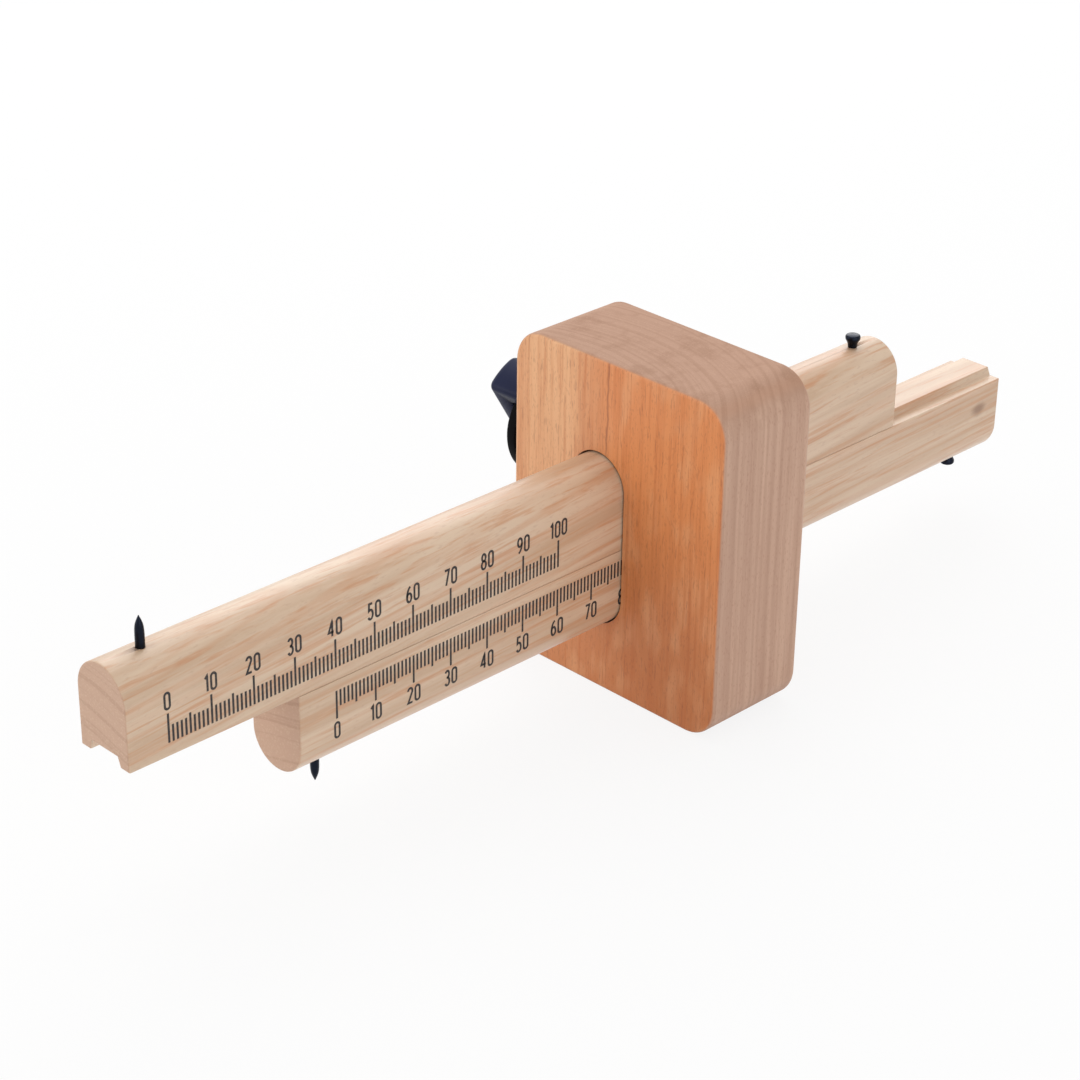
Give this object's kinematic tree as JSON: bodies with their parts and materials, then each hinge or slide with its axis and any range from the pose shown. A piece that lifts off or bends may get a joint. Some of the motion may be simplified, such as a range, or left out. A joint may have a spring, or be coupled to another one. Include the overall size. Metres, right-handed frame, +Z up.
{
  "type": "marking gauge",
  "caption": "Wooden marking gauge: a block fence with sliding tongue-and-groove arms, steel scribing pins and a wing clamp.",
  "frame": {"origin": "centre of the fence's foot, the flat lower end that the gauge stands on", "axes": "+Z up along the fence; +X along the arms, away from the marking pins; +Y towards the clamp knob's side"},
  "size_m": [0.2585, 0.07, 0.077],
  "materials": {
    "fence_wood": "steamed beech, sanded, thin clear oil",
    "arm_wood": "pale beech, planed and sanded, thin clear lacquer",
    "black_steel": "hardened steel, blued black",
    "plated_steel": "zinc plated",
    "brass": "turned",
    "knob_plastic": "moulded, navy, satin",
    "collar_plastic": "moulded, black, satin"
  },
  "bodies": {
    "fence": {"fence": "fence_wood", "threaded_insert": "brass"},
    "upper_arm": {"upper_arm": "arm_wood", "upper_marking_pin": "black_steel", "upper_stop_pin": "black_steel"},
    "lower_arm": {"lower_arm": "arm_wood", "lower_marking_pin": "black_steel", "lower_stop_pin": "black_steel"},
    "clamp_pad": {"pressure_pad": "brass"},
    "clamp_knob": {"clamp_stud": "plated_steel", "knob_collar": "collar_plastic", "wing_knob": "knob_plastic"}
  },
  "joints": [
    {"name": "upper_arm_slide", "type": "slide", "parent": "fence", "child": "upper_arm", "axis": [1, 0, 0], "range_m": [-0.0544, 0.1174]},
    {"name": "lower_arm_slide", "type": "slide", "parent": "fence", "child": "lower_arm", "axis": [1, 0, 0], "range_m": [-0.0944, 0.0774]},
    {"name": "clamp_pad_slide", "type": "slide", "parent": "fence", "child": "clamp_pad", "axis": [0, 1, 0], "range_m": [0, 0.002]},
    {"name": "clamp_knob_turn", "type": "hinge", "parent": "clamp_pad", "child": "clamp_knob", "pos_m": [0, 0.0324, 0.0495], "axis": [0, 1, 0], "range_deg": [0, 720]}
  ],
  "couplings": [
    {"joint": "clamp_pad_slide", "follows": "clamp_knob_turn", "m_per_rad": 0.00015915}
  ]
}
